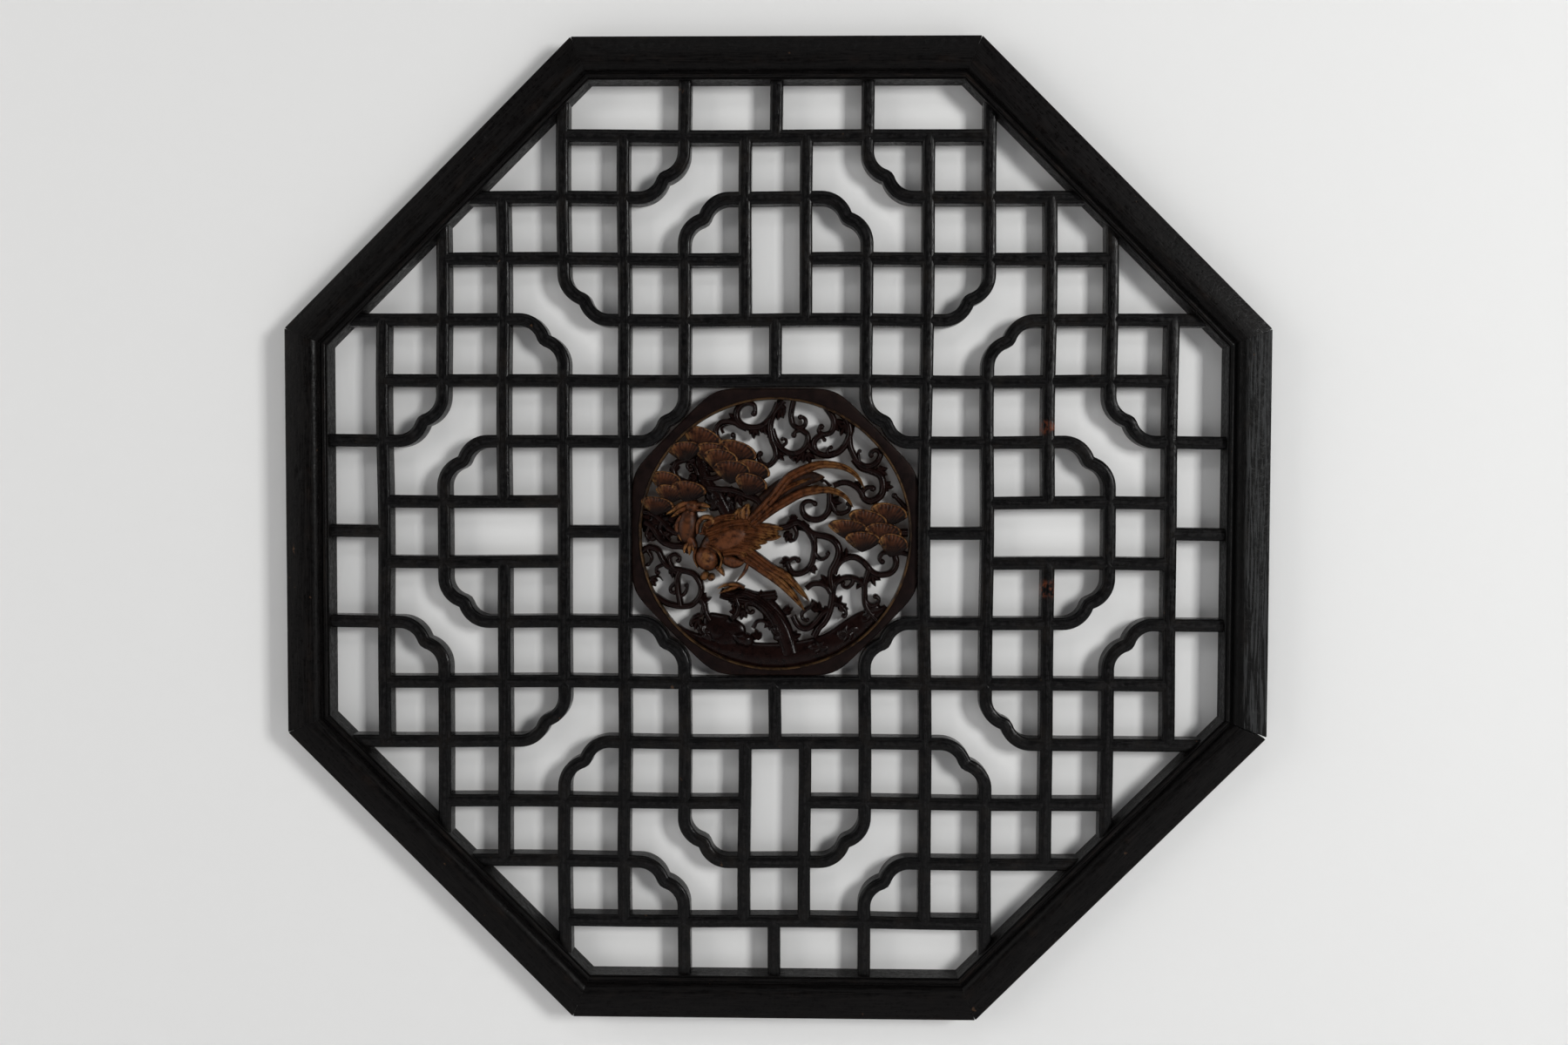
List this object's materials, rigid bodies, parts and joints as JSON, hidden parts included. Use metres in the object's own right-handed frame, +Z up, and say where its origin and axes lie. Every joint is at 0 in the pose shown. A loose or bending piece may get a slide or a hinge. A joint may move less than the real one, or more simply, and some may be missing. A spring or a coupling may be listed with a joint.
{
  "type": "carved wall panel",
  "caption": "Octagonal ebonised wood lattice wall panel with cusped brackets and a pierced roundel carved with birds, pine and scrolls.",
  "frame": {"origin": "middle of the back of the top frame member, where the panel meets the wall", "axes": "+X to the right and +Z up as the panel hangs; the back lies on y = 0 and the front looks along -Y"},
  "size_m": [0.84, 0.0285, 0.84],
  "materials": {
    "frame_wood": "ebonised, satin, with worn grain on the right side",
    "lattice_wood": "ebonised, satin, with small chips and rubbed spots",
    "carved_wood": "stained dark brown, birds and pine clusters orange brown with gilt edges"
  },
  "bodies": {
    "root": {"arch_bottom": "lattice_wood", "arch_left": "lattice_wood", "arch_right": "lattice_wood", "arch_top": "lattice_wood", "frame_bottom": "frame_wood", "frame_bottom_left": "frame_wood", "frame_bottom_right": "frame_wood", "frame_left": "frame_wood", "frame_right": "frame_wood", "frame_top": "frame_wood", "frame_top_left": "frame_wood", "frame_top_right": "frame_wood", "inner_rail_bottom": "lattice_wood", "inner_rail_left": "lattice_wood", "inner_rail_right": "lattice_wood", "inner_rail_top": "lattice_wood", "long_bar_bottom": "lattice_wood", "long_bar_left": "lattice_wood", "long_bar_right": "lattice_wood", "long_bar_top": "lattice_wood", "outer_rail_bottom": "lattice_wood", "outer_rail_left": "lattice_wood", "outer_rail_right": "lattice_wood", "outer_rail_top": "lattice_wood", "outer_strut_bottom": "lattice_wood", "outer_strut_left": "lattice_wood", "outer_strut_right": "lattice_wood", "outer_strut_top": "lattice_wood", "roundel": "carved_wood", "short_post_bottom_left": "lattice_wood", "short_post_bottom_right": "lattice_wood", "short_post_left_lower": "lattice_wood", "short_post_left_upper": "lattice_wood", "short_post_right_lower": "lattice_wood", "short_post_right_upper": "lattice_wood", "short_post_top_left": "lattice_wood", "short_post_top_right": "lattice_wood", "side_post_bottom_left": "lattice_wood", "side_post_bottom_right": "lattice_wood", "side_post_left_lower": "lattice_wood", "side_post_left_upper": "lattice_wood", "side_post_right_lower": "lattice_wood", "side_post_right_upper": "lattice_wood", "side_post_top_left": "lattice_wood", "side_post_top_right": "lattice_wood", "square_bracket_bottom_left": "lattice_wood", "square_bracket_bottom_right": "lattice_wood", "square_bracket_top_left": "lattice_wood", "square_bracket_top_right": "lattice_wood", "tie_bottom_left": "lattice_wood", "tie_bottom_right": "lattice_wood", "tie_left_lower": "lattice_wood", "tie_left_upper": "lattice_wood", "tie_right_lower": "lattice_wood", "tie_right_upper": "lattice_wood", "tie_top_left": "lattice_wood", "tie_top_right": "lattice_wood"}
  },
  "joints": []
}
